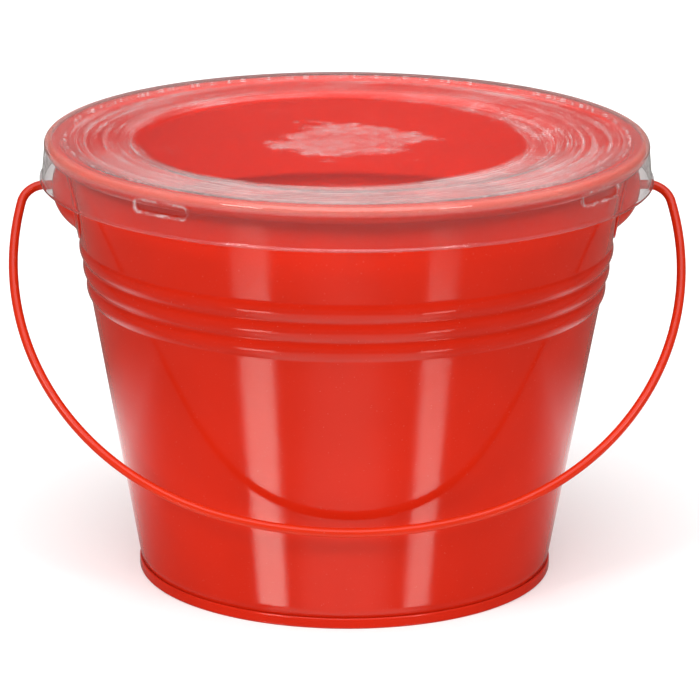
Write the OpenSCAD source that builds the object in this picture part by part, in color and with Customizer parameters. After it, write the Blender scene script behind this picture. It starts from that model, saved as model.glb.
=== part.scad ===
// Sand bucket: a tapered sheet-metal pail with a rolled rim, three rolled beads,
// a seamed bottom, two domed ears, a one-piece wire bail and a clear press-on lid.
// Millimetres. +Z is up, the origin is the centre of the base on the ground,
// the ears lie on the X axis and the bail hangs down in front, towards -Y.

/* [Pail] */
// Height of the rolled rim's top edge
rim_h = 164.75; // [150:0.25:180]
// Outer radius of the wall at the ground, before the foot seam
wall_r = 76.25; // [70:0.25:85]
// How far the wall leans out, in degrees from upright
wall_lean = 10; // [6:0.5:12]
// Thickness of the painted sheet
sheet = 0.4; // [0.3:0.05:0.6]
// Diameter of the roll at the rim
curl_d = 6; // [5:0.25:6]
// Height of the lowest bead's middle
bead_z = 109; // [90:1:115]
// Distance from one bead to the next
bead_pitch = 7.4; // [7:0.1:9]
// How far a bead stands out of the wall
bead_out = 1; // [0.6:0.1:1.2]
// Height of one bead where it leaves the wall
bead_w = 6.6; // [5:0.1:6.8]
// Number of beads
beads = 3; // [1:1:3]

/* [Foot seam] */
// Height of the seamed ring that the pail stands on
foot_h = 4; // [3:0.25:5]
// How far the ring stands out of the wall
foot_out = 1; // [0.8:0.1:1.4]
// Width of the folded side seam at the back
seam_w = 6; // [4:0.5:8]

/* [Ears] */
// Height of the bail's pivot
pivot_z = 146.6; // [144:0.1:148]
// Radius of the ear's pressed dome
dome_r = 18.7; // [18:0.1:19.5]
// Distance from the pail's axis to the dome's top
dome_reach = 109; // [108:0.25:110]
// Thickness of the ear's sheet
ear_t = 0.6; // [0.5:0.1:0.8]
// Diameter of the hole that the bail turns in
ear_hole_d = 4.4; // [4:0.1:5]
// Width of the ear's flange across the wall
flange_w = 45; // [40:1:50]
// Height of the ear's flange
flange_h = 31; // [30:0.5:32]

/* [Bail] */
// Diameter of the wire
wire_d = 3.4; // [3:0.1:3.6]
// Where the straight end turns down, from the pail's axis
bail_end = 111.3; // [111:0.1:113]
// Radius of the shoulder bend
shoulder_r = 9; // [8:0.5:12]
// Turn of the shoulder bend
shoulder_a = 77.5; // [74:0.5:80]
// Radius of the leg's long curve
leg_r = 106.5; // [100:0.5:112]
// Turn of the leg's long curve
leg_a = 86.5; // [84:0.5:88]
// How far the hanging bail stands forward, in degrees from straight down
bail_hang = 40.4; // [39:0.1:60]
// Radius of the hook inside the ear
hook_r = 3.4; // [3:0.1:3.6]
// Straight length at the hook's tip
hook_tip = 1.2; // [0.5:0.1:1.6]

/* [Lid] */
// Thickness of the clear sheet
lid_t = 0.9; // [0.7:0.05:1]
// Outer radius of the lid at its top edge
lid_r = 111.5; // [111:0.1:113]
// Height of the skirt
skirt_h = 15.7; // [14:0.1:16]
// How much wider the skirt is at its lower edge
skirt_flare = 1.2; // [0.8:0.1:1.6]
// How far the lip stands out of the skirt's lower edge
lip_out = 0.7; // [0.4:0.1:1]
// Rounding of the lid's outer corner
corner_r = 2.6; // [2:0.1:2.6]
// Radius where the raised edge steps down to the top panel
panel_r = 103.4; // [100:0.1:103.6]
// Depth of that step
panel_drop = 1.2; // [0.8:0.1:1.6]
// Radius of the stacking recess
recess_r = 79; // [78.5:0.5:82]
// Depth of the stacking recess below the panel
recess_drop = 1.5; // [1:0.1:2]
// Number of snap lugs in the skirt
lugs = 4; // [3:1:8]
// Turn of the first lug from straight in front
lug_turn = -37.5; // [-45:0.5:45]
// Length of a snap lug
lug_l = 24; // [16:1:26]
// Height of a snap lug, across the dent outside
lug_w = 5.2; // [4:0.1:5.6]
// How far a lug stands into the skirt
lug_in = 0.3; // [0.2:0.05:0.35]

/* [Hidden] */
$fn = 96;
paint = "orangered";
// longer than anything in the pail
far = 300;
slope = tan(wall_lean);
// the wall's outer face at height z
function wall_at(z) = wall_r + slope * z;
// middle of the rim's roll, just outside the wall's inner face
curl_z = rim_h - curl_d / 2;
curl_c = wall_at(curl_z) - sheet + curl_d / 2;
// each bead is an arc on a circle whose middle lies inside the wall
bead_r = (pow(bead_w / 2, 2) + pow(bead_out, 2)) / (2 * bead_out);
bead_in = bead_r - bead_out;
top_bead_z = bead_z + (beads - 1) * bead_pitch;
// the side seam stops this far below the lowest bead and above the foot
seam_stop = 1;
// the wall's lower edge sits in the fold of the bottom's hem
hem_t = sheet;
hem_gap = 0.05;
hem_slack = 0.4;
hem_floor = hem_t + hem_slack;
hem_low_edge = 0.5;
hem_top_edge = 0.6;
dome_c = dome_reach - dome_r;
flange_z = pivot_z - 2.7;
// shallow pits of four spot welds, this far from the flange's middle
weld_r = 1.2;
weld_deep = 0.25;
weld_y = 18;
weld_up = 5;
// the hook's leg hangs between the wall and the ear's dome
hook_gap = 0.6;
hook_x = wall_at(pivot_z + hook_r + hook_tip) + hook_gap + wire_d / 2 + hook_r;
// the lid's edge rests this far above the rim's roll
lid_gap = 0.05;
lid_top = rim_h + lid_t + lid_gap;
skirt_z = lid_top - skirt_h;
lip_h = 0.9;
lug_z = skirt_z + 9.2;
lug_face = lid_r + skirt_flare * (lid_top - corner_r - lug_z) / (skirt_h - corner_r);
// a lug's dent is an arc on a bar whose middle lies outside the skirt
dent_r = (pow(lug_w / 2, 2) + pow(lug_in, 2)) / (2 * lug_in);

// ---- pail -----------------------------------------------------------------

// flat section of everything inside a cone whose face is `off` outside the wall
module cone_section(off, z0, z1) {
    polygon([[0, z0], [wall_at(z0) + off, z0], [wall_at(z1) + off, z1], [0, z1]]);
}

// one circle per bead, each `shrink` smaller than the bead's outer face
module bead_circles(shrink) {
    for (i = [0 : beads - 1]) {
        z = bead_z + i * bead_pitch;
        translate([wall_at(z) - bead_in, z]) circle(r = bead_r - shrink);
    }
}

// the sheet from the hem to the roll, with its beads pressed out from inside
module wall_section() {
    difference() {
        union() {
            cone_section(0, hem_floor, curl_z);
            bead_circles(0);
        }
        cone_section(-sheet, -1, curl_z + 1);
        bead_circles(sheet);
    }
}

// the rim's roll: a tube that stops just short of the wall underneath
module curl_section() {
    translate([curl_c, curl_z]) difference() {
        circle(d = curl_d);
        circle(d = curl_d - 2 * sheet);
        translate([-curl_d, -curl_d]) square([curl_d - sheet, curl_d]);
    }
}

// the folded seam that closes the sheet at the back
module side_seam() {
    intersection() {
        rotate_extrude() difference() {
            cone_section(sheet, foot_h + seam_stop, bead_z - bead_w / 2 - seam_stop);
            cone_section(-sheet / 2, 0, rim_h);
        }
        translate([-seam_w / 2, 0, 0]) cube([seam_w, far, rim_h]);
    }
}

module pail_wall() {
    color(paint) {
        rotate_extrude() {
            wall_section();
            curl_section();
        }
        side_seam();
    }
}

// a pressed disc whose edge turns down, under and up round the wall's edge
module hem_section() {
    outer = wall_at(foot_h / 2) + foot_out;
    difference() {
        polygon([
            [wall_at(0) - sheet - hem_gap - hem_t, 0],
            [outer - hem_low_edge, 0],
            [outer, hem_low_edge],
            [outer, foot_h - hem_top_edge],
            [outer - hem_top_edge, foot_h],
            [wall_at(foot_h) - sheet - hem_gap - hem_t, foot_h]
        ]);
        // the slot that the wall's edge stands in
        polygon([
            [wall_at(hem_t) - sheet - hem_gap, hem_t],
            [wall_at(hem_t) + hem_gap, hem_t],
            [wall_at(foot_h + 1) + hem_gap, foot_h + 1],
            [wall_at(foot_h + 1) - sheet - hem_gap, foot_h + 1]
        ]);
    }
}

module pail_bottom() {
    color(paint) rotate_extrude() {
        hem_section();
        translate([0, foot_h - hem_t])
            square([wall_at(foot_h) - sheet - hem_gap - hem_t / 2, hem_t]);
    }
}

// ---- ears -----------------------------------------------------------------

// a bar along X with round ends, standing for the flange's outline
module flange_outline() {
    round_r = flange_h / 2;
    reach = flange_w / 2 - round_r;
    translate([0, 0, flange_z]) rotate([0, 90, 0]) {
        translate([0, reach, 0]) cylinder(r = round_r, h = far);
        translate([0, -reach, 0]) cylinder(r = round_r, h = far);
        translate([-round_r, -reach, 0]) cube([2 * round_r, 2 * reach, far]);
    }
}

// everything outside the wall, up to `off` from its face
module outside_wall(off) {
    rotate_extrude() difference() {
        cone_section(off, top_bead_z, rim_h);
        cone_section(0, 0, rim_h + 1);
    }
}

module dome_ball(r) {
    translate([dome_c, 0, pivot_z]) sphere(r = r);
}

// a small ball that leaves a pit in the flange's face at (y, z)
module weld_ball(y, z) {
    face = sqrt(pow(wall_at(z) + ear_t, 2) - pow(y, 2));
    translate([face + weld_r - weld_deep, y, z]) sphere(r = weld_r);
}

// one ear, on the +X side
module ear() {
    difference() {
        intersection() {
            outside_wall(ear_t);
            flange_outline();
        }
        dome_ball(dome_r - ear_t / 2);
        for (y = [-weld_y, weld_y], z = [flange_z - weld_up, flange_z + weld_up])
            weld_ball(y, z);
    }
    difference() {
        intersection() {
            outside_wall(far / 10);
            dome_ball(dome_r);
        }
        dome_ball(dome_r - ear_t);
        translate([0, 0, pivot_z]) rotate([0, 90, 0]) cylinder(d = ear_hole_d, h = far);
    }
}

module right_ear() {
    color(paint) ear();
}

module left_ear() {
    color(paint) rotate([0, 0, 180]) ear();
}

// ---- bail -----------------------------------------------------------------

// In the bail's own plane, x runs along the pivot and y runs towards the crown.
// Each piece of wire starts at point p and heads h degrees left of +x.
module at_end(p, h) {
    translate([p[0], p[1], 0]) rotate([0, 0, h]) children();
}

// an arc of wire that turns left
module wire_arc(r, a) {
    translate([0, r, 0]) rotate([0, 0, -90]) rotate_extrude(angle = a)
        translate([r, 0]) circle(d = wire_d);
}

// a straight piece of wire
module wire_rod(l) {
    rotate([0, 90, 0]) cylinder(d = wire_d, h = l);
}

// a collar a hair thicker than the wire, which holds two curves' ends together
module wire_joint() {
    rotate([0, 90, 0]) cylinder(d = wire_d + joint_swell, h = joint_l, center = true);
}

// where a left-hand arc of radius r and turn a, begun at p with heading h, ends
function arc_end(p, h, r, a) = [
    p[0] + r * (sin(h + a) - sin(h)),
    p[1] - r * (cos(h + a) - cos(h))
];

joint_swell = 0.1;
joint_l = 1.2;
shoulder_end = arc_end([bail_end, 0], 0, shoulder_r, shoulder_a);
leg_end = arc_end(shoulder_end, shoulder_a, leg_r, leg_a);
crown_a = 180 - shoulder_a - leg_a;
crown_r = leg_end[0] / sin(crown_a);

// the hook inside the ear, the straight end, the shoulder and the long leg
module bail_side() {
    at_end([hook_x - hook_r, -hook_r], 270) wire_rod(hook_tip);
    at_end([hook_x, 0], 180) wire_arc(hook_r, 90);
    at_end([hook_x, 0], 0) wire_rod(bail_end - hook_x);
    at_end([bail_end, 0], 0) wire_arc(shoulder_r, shoulder_a);
    at_end(shoulder_end, shoulder_a) {
        wire_joint();
        wire_arc(leg_r, leg_a);
    }
    at_end(leg_end, shoulder_a + leg_a) wire_joint();
}

module bail() {
    color(paint) translate([0, 0, pivot_z]) rotate([-90 - bail_hang, 0, 0]) {
        bail_side();
        mirror([1, 0, 0]) bail_side();
        at_end(leg_end, shoulder_a + leg_a) wire_arc(crown_r, 2 * crown_a);
    }
}

// ---- lid ------------------------------------------------------------------

// the lid's outer outline, moved in by `t`, as one closed section to the axis
module lid_solid(t) {
    top = lid_top - t;
    r0 = lid_r - t;
    r1 = lid_r + skirt_flare - t;
    corner = corner_r - t;
    // the skirt leans, so the corner's circle sits inside its face at that height
    foot = t > 0 ? skirt_z - 1 : skirt_z;
    polygon([
        [0, foot],
        [r1, foot],
        [r0, lid_top - corner_r],
        [r0 - corner, top],
        [panel_r + t, top],
        [panel_r + t, top - panel_drop],
        [recess_r + t, top - panel_drop],
        [recess_r + t, top - panel_drop - recess_drop],
        [0, top - panel_drop - recess_drop]
    ]);
    translate([r0 - corner, lid_top - corner_r]) circle(r = corner);
}

module lid_section() {
    difference() {
        union() {
            lid_solid(0);
            translate([lid_r, skirt_z]) square([skirt_flare + lip_out, lip_h]);
        }
        lid_solid(lid_t);
    }
}

// straight bars of radius r, one at each lug, lying across the skirt's face
module lug_bars(r) {
    for (i = [0 : lugs - 1])
        rotate([0, 0, lug_turn + i * 360 / lugs])
            translate([0, -lug_face - dent_r + lug_in, lug_z])
                rotate([0, 90, 0]) cylinder(r = r, h = lug_l, center = true);
}

module lid() {
    color("white", 0.35) difference() {
        union() {
            rotate_extrude() lid_section();
            intersection() {
                lug_bars(dent_r + lid_t);
                rotate_extrude() lid_solid(lid_t / 2);
            }
        }
        lug_bars(dent_r);
    }
}

pail_wall();
pail_bottom();
left_ear();
right_ear();
bail();
lid();
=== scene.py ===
import math

import bmesh
import bpy
import numpy as np
from mathutils import Matrix


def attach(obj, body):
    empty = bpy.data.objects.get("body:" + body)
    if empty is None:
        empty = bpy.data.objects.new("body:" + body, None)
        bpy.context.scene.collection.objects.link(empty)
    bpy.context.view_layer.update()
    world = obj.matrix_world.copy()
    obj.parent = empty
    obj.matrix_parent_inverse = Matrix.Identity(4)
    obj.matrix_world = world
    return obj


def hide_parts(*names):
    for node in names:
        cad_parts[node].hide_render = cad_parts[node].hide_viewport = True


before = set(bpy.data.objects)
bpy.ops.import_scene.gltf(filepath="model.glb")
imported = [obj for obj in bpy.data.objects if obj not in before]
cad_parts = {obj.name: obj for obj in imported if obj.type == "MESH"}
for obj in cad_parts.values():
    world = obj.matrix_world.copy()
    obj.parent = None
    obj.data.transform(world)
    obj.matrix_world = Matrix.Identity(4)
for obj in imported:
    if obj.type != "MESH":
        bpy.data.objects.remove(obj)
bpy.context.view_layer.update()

scene = bpy.context.scene
mm = 0.001


# ---- pail wall ------------------------------------------------------------
# One sheet of tinplate, rolled into a cone and closed by a folded seam at the
# back. Three beads are rolled into it under the rim, its top edge is curled
# outwards over itself, and the whole pail is sprayed with gloss red enamel.

wall_r = 76.25 * mm
wall_lean = math.radians(10)
sheet = 0.4 * mm
rim_top = 164.75 * mm
curl_d = 6.0 * mm
bead_z = np.array([109.0, 116.4, 123.8]) * mm
bead_out = 1.0 * mm
bead_w = 6.6 * mm
seam_w = 6.0 * mm


def cone_r(z):
    """Radius of the wall's outer face: its radius on the ground plus z times the lean's tangent."""
    return wall_r + math.tan(wall_lean) * z


def steps(*stretches):
    """Values along stretches (start, end, count), joined, sorted and with no repeats."""
    return np.unique(np.concatenate([np.linspace(a, b, n) for a, b, n in stretches]).round(9))


def smooth(x, low, high):
    """Smoothstep: 0 below low, 1 above high and 3t^2 - 2t^3 between."""
    t = np.clip((x - low) / (high - low), 0, 1)
    return t * t * (3 - 2 * t)


def soft_bead(z):
    """Height of the beads at z: bead_out (1 - t^2), where t is 0 at a bead's middle and 1 at its sides."""
    t = np.clip(np.abs(z[:, None] - bead_z) / (bead_w / 2), 0, 1)
    return (bead_out * (1 - t ** 2)).sum(axis=1)


def offset(path, distance):
    """The path moved sideways by the distance: each point plus the distance times its right-hand normal."""
    along = np.gradient(path, axis=0)
    along /= np.linalg.norm(along, axis=1)[:, None]
    return path + distance * np.stack([along[:, 1], -along[:, 0]], axis=1)


def build(name, points, faces, body, slot, material, *nodes):
    """A mesh piece with its doubles merged and its faces turned outwards, riding on a body."""
    mesh = bpy.data.meshes.new(name)
    mesh.from_pydata(points.reshape(-1, 3), [], faces)
    work = bmesh.new()
    work.from_mesh(mesh)
    bmesh.ops.remove_doubles(work, verts=work.verts, dist=1e-7)
    bmesh.ops.recalc_face_normals(work, faces=work.faces)
    work.to_mesh(mesh)
    work.free()
    mesh.polygons.foreach_set("use_smooth", np.ones(len(mesh.polygons), dtype=bool))
    mesh.materials.append(material)
    piece = bpy.data.objects.new(name, mesh)
    scene.collection.objects.link(piece)
    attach(piece, body)
    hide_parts(*nodes)
    return piece


def grid_faces(rows, columns, loop_rows=True, loop_columns=True):
    """Quads of a grid of points, closed round in either direction where asked."""
    row = np.arange(rows if loop_rows else rows - 1)[:, None]
    column = np.arange(columns if loop_columns else columns - 1)[None, :]
    next_row, next_column = (row + 1) % rows, (column + 1) % columns
    corners = [row * columns + column, row * columns + next_column,
               next_row * columns + next_column, next_row * columns + column]
    return np.stack([c.ravel() for c in corners], axis=1).tolist()


def lathe(section, angles):
    """Points (r cos a, r sin a, z) of a section (r, z) carried round the Z axis, as a grid."""
    r, z = section[:, 0, None], section[:, 1, None]
    return np.stack(np.broadcast_arrays(r * np.cos(angles), r * np.sin(angles), z), axis=2)


class Wire:
    """A node's output. A sum or product of wires and numbers adds Math nodes to its tree."""

    def __init__(self, tree, socket):
        self.tree, self.socket = tree, socket

    def maths(self, operation, *others, clamp=False):
        """One Math node of this wire and up to two other wires or numbers."""
        node = self.tree.nodes.new("ShaderNodeMath")
        node.operation, node.use_clamp = operation, clamp
        for socket, value in zip(node.inputs, (self, *others)):
            if isinstance(value, Wire):
                self.tree.links.new(value.socket, socket)
            else:
                socket.default_value = value
        return Wire(self.tree, node.outputs[0])

    def __add__(self, other):
        return self.maths("ADD", other)

    def __sub__(self, other):
        return self.maths("SUBTRACT", other)

    def __rsub__(self, other):
        return self.maths("MULTIPLY_ADD", -1.0, other)

    def __mul__(self, other):
        return self.maths("MULTIPLY", other)

    def __truediv__(self, other):
        return self.maths("DIVIDE", other)

    def __pow__(self, other):
        return self.maths("POWER", other)

    __radd__ = __add__
    __rmul__ = __mul__

    def clamped(self):
        """This value held between 0 and 1."""
        return self.maths("ADD", 0.0, clamp=True)

    def above(self, low, high):
        """Smoothstep of this value between low and high, either way round."""
        node = self.tree.nodes.new("ShaderNodeMapRange")
        node.interpolation_type = "SMOOTHSTEP"
        self.tree.links.new(self.socket, node.inputs["Value"])
        flip = low > high
        node.inputs["From Min"].default_value = min(low, high)
        node.inputs["From Max"].default_value = max(low, high)
        node.inputs["To Min"].default_value = float(flip)
        node.inputs["To Max"].default_value = 1.0 - float(flip)
        return Wire(self.tree, node.outputs[0])


class Finish:
    """A procedural material, built by one method that adds any node and returns its outputs."""

    def __init__(self, name, tree=None):
        if tree is None:
            self.material = bpy.data.materials.new(name)
            self.material.use_nodes = True
            tree = self.material.node_tree
        self.tree = tree
        self.tree.nodes.clear()

    def node(self, kind, settings=None, values=None):
        """Adds a node with its settings, fills its sockets with wires or constants and returns its outputs."""
        node = self.tree.nodes.new("ShaderNode" + kind)
        for key, value in (settings or {}).items():
            if key == "stops":
                ramp = node.color_ramp.elements
                while len(ramp) < len(value):
                    ramp.new(0.5)
                for stop, (place, colour) in zip(ramp, value):
                    stop.position, stop.color = place, (*colour, 1)
            else:
                setattr(node, key, value)
        for key, value in (values or {}).items():
            socket = node.inputs[key]
            if isinstance(value, Wire):
                self.tree.links.new(value.socket, socket)
            else:
                socket.default_value = value
        return {o.name: Wire(self.tree, o) for o in node.outputs if o.enabled}

    def noise(self, where, scale, detail=2.0, roughness=0.5):
        return self.node("TexNoise", {}, {"Vector": where, "Scale": scale, "Detail": detail,
                                          "Roughness": roughness})["Fac"]

    def blend(self, factor, first, second):
        """A colour between two colours."""
        return self.node("Mix", {"data_type": "RGBA"}, {0: factor, 6: first, 7: second})["Result"]

    def place(self):
        """Object coordinates, as a vector and as x, y and z."""
        where = self.node("TexCoord")["Object"]
        parts = self.node("SeparateXYZ", {}, {"Vector": where})
        return where, parts["X"], parts["Y"], parts["Z"]

    def vector(self, x, y, z):
        return self.node("CombineXYZ", {}, {"X": x, "Y": y, "Z": z})["Vector"]

    def output(self, shader):
        self.node("OutputMaterial", {}, {"Surface": shader})
        return self.material


def red(colour, name, gloss, peel):
    """Gloss red paint: a slow drift in its colour, painted shade towards the top, painted light inside the
    wall's cone, orange peel in its skin, faint rub and a little dust.
    """
    paint = Finish(name)
    where, x, y, z = paint.place()
    drift = paint.noise(where, 28.0, 3.0)
    fine = paint.noise(where, 900.0, 2.0)
    slow = paint.noise(where, 45.0, 1.0)
    dust = paint.noise(where, 1600.0, 1.0).above(0.74, 0.80)
    rub = paint.noise(where, 70.0, 5.0, 0.65)
    deep, painted_light_red = tuple(c * 0.93 for c in colour), tuple(c * 1.2 for c in colour)
    tone = paint.blend(drift.above(0.3, 0.7), (*deep, 1), (*colour, 1))
    # painted shade: the red is darker towards the top, standing in for the shade that the rim and lid cast on
    # the wall under them
    tone = paint.blend(z.above(0.05, 0.125) * 0.15, tone, (0.05, 0.0, 0.0, 1))
    # painted light: the red is brighter on the inside of the wall's cone, standing in for light that reaches
    # the inside through the lid
    within = (x * x + y * y) ** 0.5 - z * math.tan(wall_lean)
    tone = paint.blend(within.above(wall_r - 0.1 * mm, wall_r - 0.3 * mm), tone, (*painted_light_red, 1))
    tone = paint.blend(dust * 0.25, tone, (0.75, 0.35, 0.3, 1))
    roughness = gloss + rub.above(0.35, 0.75) * 0.05 + dust * 0.15
    bump = paint.node("Bump", {}, {"Strength": 1.0, "Distance": 1.0,
                                   "Height": fine * peel + slow * (peel * 12)})["Normal"]
    shader = paint.node("BsdfPrincipled", {}, {
        "Base Color": tone, "Roughness": roughness, "Normal": bump,
        "Specular IOR Level": 0.24, "IOR": 1.5})["BSDF"]
    return paint.output(shader)


enamel = red((0.595, 0.018, 0.0045), "red_enamel", 0.09, 0.0000012)

wall_heights = steps((0.8 * mm, 104 * mm, 16), (104 * mm, 129 * mm, 64), (129 * mm, 161.5 * mm, 8))
curl_middle = rim_top - curl_d / 2
roll_r = (curl_d - sheet) / 2
roll_at = np.array([cone_r(curl_middle) - sheet + curl_d / 2, curl_middle])
roll_turn = np.radians(np.linspace(168, -120, 40))
rising = np.stack([cone_r(wall_heights) - sheet / 2 + soft_bead(wall_heights), wall_heights], axis=1)
rolled = roll_at + roll_r * np.stack([np.cos(roll_turn), np.sin(roll_turn)], axis=1)
wall_path = np.concatenate([rising, rolled])
outside, inside = offset(wall_path, sheet / 2), offset(wall_path, -sheet / 2)
back = math.pi / 2
wall_angles = steps((0, 2 * math.pi, 289), (back - 0.036, back + 0.036, 13))[:-1]
wall = lathe(np.concatenate([outside, inside[::-1]]), wall_angles)
# the folded side seam stands out of the outer face, across the back
beside = np.abs(wall[: len(outside), :, 0])
seam = smooth(beside, seam_w / 2, seam_w / 2 - 0.5 * mm) * (wall[: len(outside), :, 1] > 0)
seam = seam * smooth(wall[: len(outside), :, 2], 104.6 * mm, 103.2 * mm)
wall[: len(outside), :, 1] += sheet * seam
build("pail_wall_sheet", wall, grid_faces(*wall.shape[:2]), "pail", "pail_paint", enamel, "pail_wall")


# ---- bottom ---------------------------------------------------------------
# A pressed disc of the same sheet. Its edge is folded round the wall's lower
# edge and crimped, which leaves the raised ring that the pail stands on.

foot_h = 4.0 * mm
foot_r = cone_r(foot_h / 2) + 1.0 * mm
hem_gap = 0.05 * mm


def rounded(corners, radii, count=7):
    """A path through corners (r, z), each replaced by an arc of its radius that touches both sides."""
    corners, out = np.array(corners), [np.array(corners[0])[None]]
    for before, at, after, radius in zip(corners, corners[1:], corners[2:], radii):
        a, b = before - at, after - at
        a, b = a / np.linalg.norm(a), b / np.linalg.norm(b)
        half = math.acos(np.clip(a @ b, -1, 1)) / 2
        middle = at + (a + b) / np.linalg.norm(a + b) * radius / math.sin(half)
        start, end = at + a * radius / math.tan(half) - middle, at + b * radius / math.tan(half) - middle
        t = np.linspace(0, 1, count)[:, None]
        span = math.pi - 2 * half
        arc = (np.sin((1 - t) * span) * start + np.sin(t * span) * end) / math.sin(span)
        out.append(middle + arc)
    out.append(corners[-1][None])
    return np.concatenate(out)


slot_r = cone_r(foot_h) - sheet - hem_gap
hem_floor = sheet
hem = rounded(
    [
        (0, foot_h), (slot_r, foot_h),
        (cone_r(hem_floor) - sheet - hem_gap, hem_floor), (cone_r(hem_floor) + hem_gap, hem_floor),
        (cone_r(foot_h) + hem_gap, foot_h), (foot_r, foot_h), (foot_r, 0),
        (cone_r(0) - 2 * sheet - hem_gap, 0), (slot_r - sheet, foot_h - sheet), (0, foot_h - sheet),
    ],
    np.array([0.15, 0.1, 0.1, 0.15, 0.75, 0.7, 0.35, 0.4]) * mm,
)
foot = lathe(hem, steps((0, 2 * math.pi, 241))[:-1])
build("pail_bottom_disc", foot, grid_faces(*foot.shape[:2], loop_rows=False), "pail", "pail_paint",
      enamel, "pail_bottom")


# ---- ears -----------------------------------------------------------------
# Two plates pressed from thicker sheet, each with a dome that keeps the wire's
# hooked end away from the wall. Four spot welds hold each plate to the wall,
# and the plates were painted with the pail.

pivot_z = 146.6 * mm
dome_r = 18.7 * mm
dome_x = 109 * mm - dome_r
ear_t = 0.6 * mm
ear_hole_r = 2.2 * mm
flange_z = 143.9 * mm
flange_w, flange_h = 45 * mm, 31 * mm
weld_y, weld_up, weld_deep = 18 * mm, 5 * mm, 0.25 * mm


def ear_face(across, up, thick):
    """Distance from the axis: a smooth maximum of the wall's cone plus a thickness and of the dome's ball."""
    plate = np.sqrt((cone_r(up) + thick) ** 2 - across ** 2)
    ball = dome_r - ear_t + thick
    from_pivot = np.hypot(across, up - pivot_z)
    dome = dome_x + np.sqrt(np.maximum(ball ** 2 - from_pivot ** 2, 0)) - 2 * np.maximum(from_pivot - ball, 0)
    fillet = 0.9 * mm
    return (plate + dome + np.sqrt((plate - dome) ** 2 + fillet ** 2)) / 2 - fillet ** 2 / (20 * mm)


def ear(name, side, node):
    """Rings from the pivot's hole out to the plate's outline, on the front face and back along the rear one."""
    turn = np.linspace(0, 2 * math.pi, 240, endpoint=False)
    dy, dz = np.cos(turn), np.sin(turn)
    # the outline is a bar with round ends, met along each ray from the pivot
    far = np.full_like(turn, 30 * mm)
    reach, r, drop = flange_w / 2 - flange_h / 2, flange_h / 2, flange_z - pivot_z
    low, high = np.zeros_like(turn), far
    for _ in range(40):
        middle = (low + high) / 2
        y, z = middle * dy, middle * dz - drop
        outside_it = np.hypot(np.maximum(np.abs(y) - reach, 0), z) > r
        low, high = np.where(outside_it, low, middle), np.where(outside_it, middle, high)
    share = np.concatenate([[0, 0.004, 0.012, 0.03], np.linspace(0.07, 0.97, 56), [0.985, 0.993, 1.0]])
    rho = ear_hole_r + share[:, None] * (low - ear_hole_r)
    across, up = rho * dy, pivot_z + rho * dz
    edge = np.minimum(rho - ear_hole_r, low - rho)
    ease = np.sqrt(1 - (1 - np.clip(edge / (0.25 * mm), 0, 1)) ** 2)
    front = ear_face(across, up, ear_t * (0.55 + 0.45 * ease))
    for y in (-weld_y, weld_y):
        for z in (flange_z - weld_up, flange_z + weld_up):
            pit = np.hypot(across - y, up - z)
            front -= weld_deep * smooth(pit, 1.0 * mm, 0.35 * mm)
    behind = ear_face(across, up, np.zeros_like(across) + 0.02 * mm)
    front = np.stack([front, across, up], axis=2)
    behind = np.stack([behind, across, up], axis=2)
    shell = np.concatenate([front, behind[::-1]])
    shell[:, :, :2] *= side
    build(name, shell, grid_faces(*shell.shape[:2]), "pail", "pail_paint", enamel, node)


ear("ear_plate_right", 1, "right_ear")
ear("ear_plate_left", -1, "left_ear")


# ---- bail -----------------------------------------------------------------
# One length of steel wire, bent to a wide bow with a tight shoulder at each
# ear, hooked inside the domes and powder coated red.

wire_r = 1.7 * mm
hook_r, hook_tip = 3.4 * mm, 1.2 * mm
hook_x = cone_r(pivot_z + hook_r + hook_tip) + 0.6 * mm + wire_r + hook_r
bail_end = 111.3 * mm
shoulder_r, shoulder_turn = 9 * mm, 77.5
leg_r, leg_turn = 106.5 * mm, 86.5
hang = math.radians(-90 - 40.4)


def bent(start, heading, bends):
    """Points of a path of stretches (length or radius, turn): each step goes along its chord, 2 r sin(a/2)."""
    points, headings = [np.array(start)], [heading]
    for size, turn, count in bends:
        turn = math.radians(turn)
        step = 2 * size * math.sin(turn / count / 2) if turn else size / count
        for _ in range(count):
            middle = headings[-1] + turn / count / 2
            points.append(points[-1] + step * np.array([math.cos(middle), math.sin(middle)]))
            headings.append(headings[-1] + turn / count)
    return np.array(points), np.array(headings)


crown_turn = 180 - shoulder_turn - leg_turn
side_path, side_heading = bent((bail_end, 0), 0, [(shoulder_r, shoulder_turn, 20), (leg_r, leg_turn, 60)])
crown_r = side_path[-1, 0] / math.sin(math.radians(crown_turn))
crown_path, crown_heading = bent(side_path[-1], side_heading[-1], [(crown_r, crown_turn, 16)])
hook_path, hook_heading = bent((hook_x - hook_r, -hook_r - hook_tip), math.pi / 2,
                               [(hook_tip, 0, 2), (-hook_r, -90, 10), (bail_end - hook_x, 0, 3)])
half = np.concatenate([hook_path[:-1], side_path[:-1], crown_path])
half_heading = np.concatenate([hook_heading[:-1], side_heading[:-1], crown_heading])
mirrored = half[::-1][1:] * (-1, 1)
bail_path = np.concatenate([half, mirrored])
bail_heading = np.concatenate([half_heading, 2 * math.pi - half_heading[::-1][1:]])
around = np.linspace(0, 2 * math.pi, 24, endpoint=False)
side_way = np.stack([-np.sin(bail_heading), np.cos(bail_heading)], axis=1)
flat = bail_path[:, None, :] + wire_r * np.cos(around)[:, None] * side_way[:, None, :]
depth = np.broadcast_to(wire_r * np.sin(around), flat.shape[:2])
tube = np.stack([flat[:, :, 0],
                 flat[:, :, 1] * math.cos(hang) - depth * math.sin(hang),
                 pivot_z + flat[:, :, 1] * math.sin(hang) + depth * math.cos(hang)], axis=2)
tips = [tube[:1].mean(axis=1, keepdims=True), tube[-1:].mean(axis=1, keepdims=True)]
first_tip, last_tip = [np.broadcast_to(tip, tube[:1].shape) for tip in tips]
tube = np.concatenate([first_tip, tube, last_tip])
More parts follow.
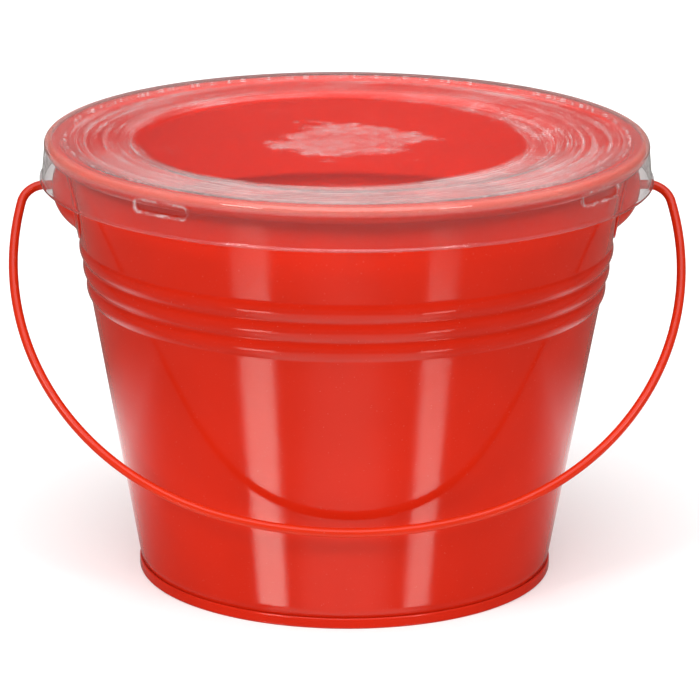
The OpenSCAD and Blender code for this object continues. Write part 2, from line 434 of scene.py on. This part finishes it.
coat = red((0.62, 0.024, 0.004), "red_powder_coat", 0.2, 0.000002)
build("bail_wire", tube, grid_faces(*tube.shape[:2], loop_rows=False), "bail", "bail_coat", coat, "bail")


# ---- lid ------------------------------------------------------------------
# Clear plastic formed in one piece: a skirt with four snap lugs, a rounded
# edge over the rim, and a shallow recess in the middle. Its top is rubbed
# dull in rings round a clear disc.

lid_t = 0.9 * mm
lid_top = 165.7 * mm
skirt_z = 150.0 * mm
lid_r, lid_foot_r = 111.5 * mm, 112.7 * mm
lip_r, lip_h = 113.4 * mm, 0.9 * mm
panel_r, panel_z = 103.4 * mm, 164.5 * mm
recess_r, recess_z = 79 * mm, 163.0 * mm
recess_ease, panel_ease = (3.8 * mm, 3.7 * mm), (3.6 * mm, 2.0 * mm)
lid_corner_r = 2.6 * mm
lug_z, lug_l, lug_w, lug_in = 159.2 * mm, 24 * mm, 5.2 * mm, 0.5 * mm
lug_offset = 37.5
lug_turns = np.radians(-90 - lug_offset + 90 * np.arange(4))

crossing = steps((0, 72 * mm, 12))[:-1]
cover = rounded(
    [
        (72 * mm, recess_z), (recess_r - recess_ease[0], recess_z), (recess_r + recess_ease[1], panel_z),
        (panel_r - panel_ease[0], panel_z), (panel_r + panel_ease[1], lid_top), (lid_r, lid_top),
        (lid_foot_r - 0.07 * mm, skirt_z + lip_h),
    ],
    [9 * mm, 9 * mm, 6 * mm, 6 * mm, lid_corner_r],
)
top_path = np.concatenate([np.stack([crossing, np.full_like(crossing, recess_z)], axis=1), cover[:-1]])
low_z = steps((skirt_z + lip_h, 162.6 * mm, 36))[::-1]
corner_z = lid_top - lid_corner_r
skirt_path = np.stack([lid_r + (lid_foot_r - lid_r) * (corner_z - low_z) / (corner_z - skirt_z), low_z], axis=1)
outer_path = np.concatenate([top_path, skirt_path])
lip = np.array([(lip_r - 0.15 * mm, skirt_z + lip_h), (lip_r, skirt_z + lip_h - 0.2 * mm),
                (lip_r, skirt_z + 0.2 * mm), (lip_r - 0.2 * mm, skirt_z)])
inner_path = offset(outer_path, lid_t)
inner_path[0, 0] = 0
inner_path = np.concatenate([inner_path, [(lid_foot_r - lid_t, skirt_z)]])
lid_section = np.concatenate([outer_path, lip, inner_path[::-1]])
lug_half = lug_l / 2 / lid_r + 0.01
at_lugs = np.angle(np.exp(1j * lug_turns))
lid_angles = steps((-math.pi, math.pi, 241), *[(a - lug_half, a + lug_half, 45) for a in at_lugs])[:-1]
lid = lathe(lid_section, lid_angles)
# each lug is a flat-bottomed dent, shaped like a pill
across = np.angle(np.exp(1j * (lid_angles[:, None] - lug_turns))) * lid_r
beyond = np.maximum(np.abs(across) - (lug_l - lug_w) / 2, 0)
height = lid_section[:, 1][:, None, None] - lug_z
away = np.hypot(beyond[None], height)
dent = (lug_in * smooth(away, lug_w / 2, lug_w / 2 - 1.1 * mm)).max(axis=2)
on_skirt = lid_section[:, 0] > 109.5 * mm
pressed = 1 - dent * on_skirt[:, None] / lid_r
lid[:, :, :2] *= pressed[:, :, None]
# formed thin sheet isn't flat: slow waves, only downwards, and none at the axis or the edge
flat_share = smooth(lid_section[:, 0], 0, 40 * mm) * smooth(lid_section[:, 0], 104 * mm, 92 * mm)
wave = 1.5 + np.sin(3 * lid_angles + 0.7) * 0.7 + np.sin(7 * lid_angles + 2.1) * 0.4
lid[:, :, 2] -= 0.07 * mm * flat_share[:, None] * wave[None, :]


def scuffed_plastic():
    """Clear plastic that hardly bends what is behind it, with haze where it has been rubbed dull and a painted
    reflection of the red rim in its edge.
    """
    clear = Finish("scuffed_clear_plastic")
    where, x, y, z = clear.place()
    radius = (x * x + y * y) ** 0.5
    over = radius.maths("MAXIMUM", 0.001)
    # noise stretched round the axis: long arcs a millimetre or two wide, and finer hairs
    arcs = clear.noise(clear.vector(x / over * 1.1, y / over * 1.1, radius * 520.0), 1.0, 4.0, 0.62)
    hairs = clear.noise(clear.vector(x / over * 2.5, y / over * 2.5, radius * 2400.0), 1.0, 2.0, 0.5)
    patch = clear.noise(where, 30.0, 4.0, 0.6)
    grain = clear.noise(where, 320.0, 4.0, 0.7)
    up = clear.node("SeparateXYZ", {}, {"Vector": clear.node("TexCoord")["Normal"]})["Z"].above(0.3, 0.8)
    # the disc that stays clear, a little off the lid's middle and uneven at its edge
    disc_x, disc_y = (x + 0.0058) / 0.0733, (y - 0.0035) / 0.0740
    disc = (disc_x * disc_x + disc_y * disc_y) ** 0.5 + (patch - 0.5) * 0.08 + (grain - 0.5) * 0.05
    ring = disc.above(0.965, 1.01) * radius.above(0.1045, 0.1015)
    front = (y * -1).above(0.0, 0.09)
    body = 0.03 + arcs.above(0.46, 0.62) * 0.16 + hairs.above(0.52, 0.68) * 0.12
    # thin crisp scratches: the contours of slow noise, broken up by the hairs
    slow = clear.noise(clear.vector(x / over * 1.3, y / over * 1.3, radius * 330.0), 1.0, 2.0, 0.5) - 0.5
    scratch = slow.maths("ABSOLUTE").above(0.011, 0.003) * (0.25 + hairs.above(0.42, 0.55) * 0.75)
    ring_haze = ring * (body * (0.45 + patch.above(0.35, 0.65) * 0.9) + front * (0.10 + hairs * 0.22)
                        + scratch * 0.22)
    # short ticks across the rings, on the right
    rays = clear.noise(clear.vector(x / over * 55.0, y / over * 55.0, radius * 70.0), 1.0, 3.0, 0.6)
    band = radius.above(0.064, 0.069) * radius.above(0.084, 0.079)
    ticks = rays.above(0.56, 0.66) * x.above(0.035, 0.060) * band
    # the rubbed patch in the middle, ragged and smeared across
    mid_x, mid_y = (x - 0.001) / 0.0265, (y - 0.001) / 0.029
    smear = clear.noise(clear.vector(x * 55.0, y * 130.0, 0.3), 1.0, 6.0, 0.7)
    streak = clear.noise(clear.vector(x * 190.0, y * 420.0, 1.7), 1.0, 3.0, 0.6)
    middle = (mid_x * mid_x + mid_y * mid_y) ** 0.5 + (patch - 0.5) * 1.6 + (smear - 0.5) * 2.2
    middle_haze = middle.above(1.02, 0.86) * (
        0.05 + smear.above(0.56, 0.42) * 0.07 + streak.above(0.45, 0.65) * 0.12 + grain.above(0.5, 0.62) * 0.05)
    ragged_edge = middle.above(0.80, 0.90) * middle.above(1.10, 0.98) * streak.above(0.5, 0.6) * 0.16
    # the raised edge is nicked all round, most of all along the foot of its step
    edge = radius.above(0.1025, 0.1045) * radius.above(0.1110, 0.1085)
    rim_line = (radius - 0.1040).maths("ABSOLUTE").above(0.0012, 0.0003)
    nicks = clear.noise(clear.vector(x / over * 40.0, y / over * 40.0, radius * 500.0), 1.0, 3.0, 0.6)
    edge_haze = edge * (0.06 + grain.above(0.62, 0.7) * 0.12 + hairs.above(0.55, 0.8) * 0.06) + (
        rim_line * nicks.above(0.5, 0.62) * 0.4)
    veil = patch.above(0.55, 0.8) * 0.01 + hairs.above(0.68, 0.76) * 0.04
    # faint haze along the lip: partly a frosted cut edge, partly a painted highlight for its thin bright edge
    # line
    lip_haze_and_highlight = z.above(0.1510, 0.1506) * 0.03
    # the edge over the rim is dull, and the red of the rim beneath is painted into it, more at the back: a
    # painted reflection that stays with the lid when it is lifted
    corner = radius.above(0.1085, 0.1095) * z.above(0.1615, 0.1635)
    corner_haze_and_painted_rim = corner * (0.22 + y.above(-0.02, 0.07) * 0.38 + patch.above(0.4, 0.65) * 0.08
                            + grain.above(0.6, 0.68) * 0.16)
    scuff_and_painted_rim_colour = clear.blend(corner, (0.68, 0.57, 0.56, 1), (0.74, 0.25, 0.20, 1))
    # the skirt is dull along the outline of each lug
    turned = math.radians(lug_offset)
    along = (x * math.cos(turned) - y * math.sin(turned)).maths("ABSOLUTE")
    beside = (x * math.sin(turned) + y * math.cos(turned)).maths("ABSOLUTE")
    past = (along.maths("MINIMUM", beside) - (lug_l - lug_w) / 2).maths("MAXIMUM", 0.0)
    to_lug = (past * past + (z - lug_z) * (z - lug_z)) ** 0.5
    from_edge = to_lug - lug_w / 2
    lug_line = from_edge.above(-1.2 * mm, -0.5 * mm) * from_edge.above(0.5 * mm, 0.0)
    lug_haze = lug_line * radius.above(0.1105, 0.1112) * (0.04 + grain.above(0.5, 0.6) * 0.3)
    top_haze = (ring_haze + ticks * 0.22 + middle_haze + ragged_edge + edge_haze + veil).clamped() * up
    haze = top_haze + lip_haze_and_highlight + lug_haze + corner_haze_and_painted_rim
    bump = clear.node("Bump", {}, {"Strength": 0.5, "Distance": 1.0,
                                   "Height": (arcs + hairs * 0.4) * 0.00002})["Normal"]
    glass = clear.node("BsdfPrincipled", {}, {
        "Base Color": (0.955, 0.89, 0.9, 1), "Roughness": 0.02, "IOR": 1.04, "Coat Weight": 0.8,
        "Coat Roughness": 0.03, "Coat IOR": 1.5, "Transmission Weight": 1.0, "Normal": bump})["BSDF"]
    open_way = clear.node("BsdfTransparent", {}, {"Color": (0.93, 0.92, 0.92, 1)})["BSDF"]
    # lamps shine straight through the clear part
    shadow = clear.node("LightPath")["Is Shadow Ray"]
    glassy = clear.node("MixShader", {}, {0: shadow, 1: glass, 2: open_way})["Shader"]
    dull = clear.node("BsdfPrincipled", {}, {"Base Color": scuff_and_painted_rim_colour, "Roughness": 0.5,
                                             "Specular IOR Level": 0.3})["BSDF"]
    return clear.output(clear.node("MixShader", {}, {0: haze, 1: glassy, 2: dull})["Shader"])


build("lid_shell", lid, grid_faces(*lid.shape[:2], loop_rows=False), "lid", "clear_lid",
      scuffed_plastic(), "lid")


# ---- floor and light ------------------------------------------------------
# A pale table, matt white to the eye. Reflections find it polished, except
# close behind the pail, so the leaning wall shows two softboxes in it as soft
# stripes. Seen through the lid it is half of each.

floor_r = 14.0
rings = np.concatenate([[0.0], np.geomspace(0.1, floor_r, 12)])
floor_grid = lathe(np.stack([rings, np.full_like(rings, -0.00005)], axis=1), steps((0, 2 * math.pi, 65))[:-1])
floor_mesh = bpy.data.meshes.new("floor")
floor_mesh.from_pydata(floor_grid.reshape(-1, 3), [], grid_faces(*floor_grid.shape[:2], loop_rows=False))
floor = bpy.data.objects.new("floor", floor_mesh)
scene.collection.objects.link(floor)
table = Finish("pale_table")
polished = table.node("BsdfPrincipled", {}, {
    "Base Color": (0.54, 0.50, 0.45, 1), "Metallic": 0.7, "Roughness": 0.12, "IOR": 2.2})["BSDF"]
matt = table.node("BsdfPrincipled", {}, {
    "Base Color": (0.9, 0.9, 0.9, 1), "Roughness": 1.0, "Specular IOR Level": 0.0,
    "Emission Color": (1, 1, 1, 1), "Emission Strength": 0.12})["BSDF"]
_, x, y, _ = table.place()
reach = (x * x + y * y) ** 0.5
ray = table.node("LightPath")
shiny_part = y.above(0.10, -0.04).maths("MAXIMUM", reach.above(0.16, 0.27))
polish_share = ray["Is Glossy Ray"] * (1 - 0.5 * ray["Is Transmission Ray"]) * shiny_part
surface = table.node("MixShader", {}, {0: polish_share, 1: matt, 2: polished})["Shader"]
floor_mesh.materials.append(table.output(surface))

view_turn = math.radians(-1.712)


def softbox(name, turn, height, distance, width, tall, radiance):
    """An area light facing the pail; its power is radiance times pi times area."""
    light = bpy.data.lights.new(name, "AREA")
    light.shape, light.size, light.size_y = "RECTANGLE", width, tall
    light.energy = radiance * math.pi * width * tall
    lamp = bpy.data.objects.new(name, light)
    turn, height = math.radians(turn) + view_turn, math.radians(height)
    away = np.array([math.sin(turn) * math.cos(height), -math.cos(turn) * math.cos(height), math.sin(height)])
    facing = Matrix.Rotation(turn, 4, "Z") @ Matrix.Rotation(math.pi / 2 - height, 4, "X")
    lamp.matrix_world = Matrix.Translation(distance * away) @ facing
    lamp.visible_camera = False
    scene.collection.objects.link(lamp)


softbox("left_softbox", -43.5, 36.5, 4.0, 0.95, 0.62, 24)
softbox("right_softbox", 44.2, 36.5, 4.0, 0.78, 0.62, 18)

overhead = bpy.data.objects.new("overhead", bpy.data.lights.new("overhead", "SUN"))
overhead.data.energy, overhead.data.angle = 2.2, math.radians(60)
overhead.matrix_world = Matrix.Rotation(view_turn, 4, "Z") @ Matrix.Rotation(math.radians(25), 4, "X")
scene.collection.objects.link(overhead)

world = bpy.data.worlds.new("room")
world.use_nodes = True
scene.world = world
room = Finish("room", world.node_tree)
# the camera sees a pale room, and light and reflections one that is dim at the sides and bright overhead
height = room.node("SeparateXYZ", {}, {"Vector": room.node("TexCoord")["Generated"]})["Z"]
grey = [(0.0, 0.10), (0.10, 0.10), (0.19, 0.10), (0.42, 0.12), (0.65, 0.35), (1.0, 1.0)]
dim = room.node("ValToRGB", {"stops": [(place, (g, g, g)) for place, g in grey]}, {"Fac": height})["Color"]
sky = room.blend(room.node("LightPath")["Is Camera Ray"], dim, (0.93, 0.93, 0.93, 1))
room.node("OutputWorld", {}, {"Surface": room.node("Background", {}, {"Color": sky})["Background"]})


# ---- camera ---------------------------------------------------------------
# A long lens looks down a little at the pail from in front, turned slightly
# so that the left ear is the nearer one.

camera_away, camera_down, aim_z = 1.5330, math.radians(16.091), 0.080
aim = Matrix.Rotation(view_turn, 4, "Z") @ Matrix.Rotation(math.pi / 2 - camera_down, 4, "X")
# a small swivel of the lens off its aim sets the pail's place in the frame
swivel = (Matrix.Rotation(math.radians(-0.059), 4, "Y") @ Matrix.Rotation(math.radians(0.103), 4, "X")
          @ Matrix.Rotation(math.radians(0.359), 4, "Z"))
camera = bpy.data.objects.new("camera", bpy.data.cameras.new("camera"))
camera.data.lens, camera.data.sensor_width = 210.4, 36
camera.matrix_world = (Matrix.Translation((0, 0, aim_z)) @ aim @ Matrix.Translation((0, 0, camera_away))
                       @ swivel)
scene.collection.objects.link(camera)
scene.camera = camera
scene.view_settings.view_transform = "Standard"
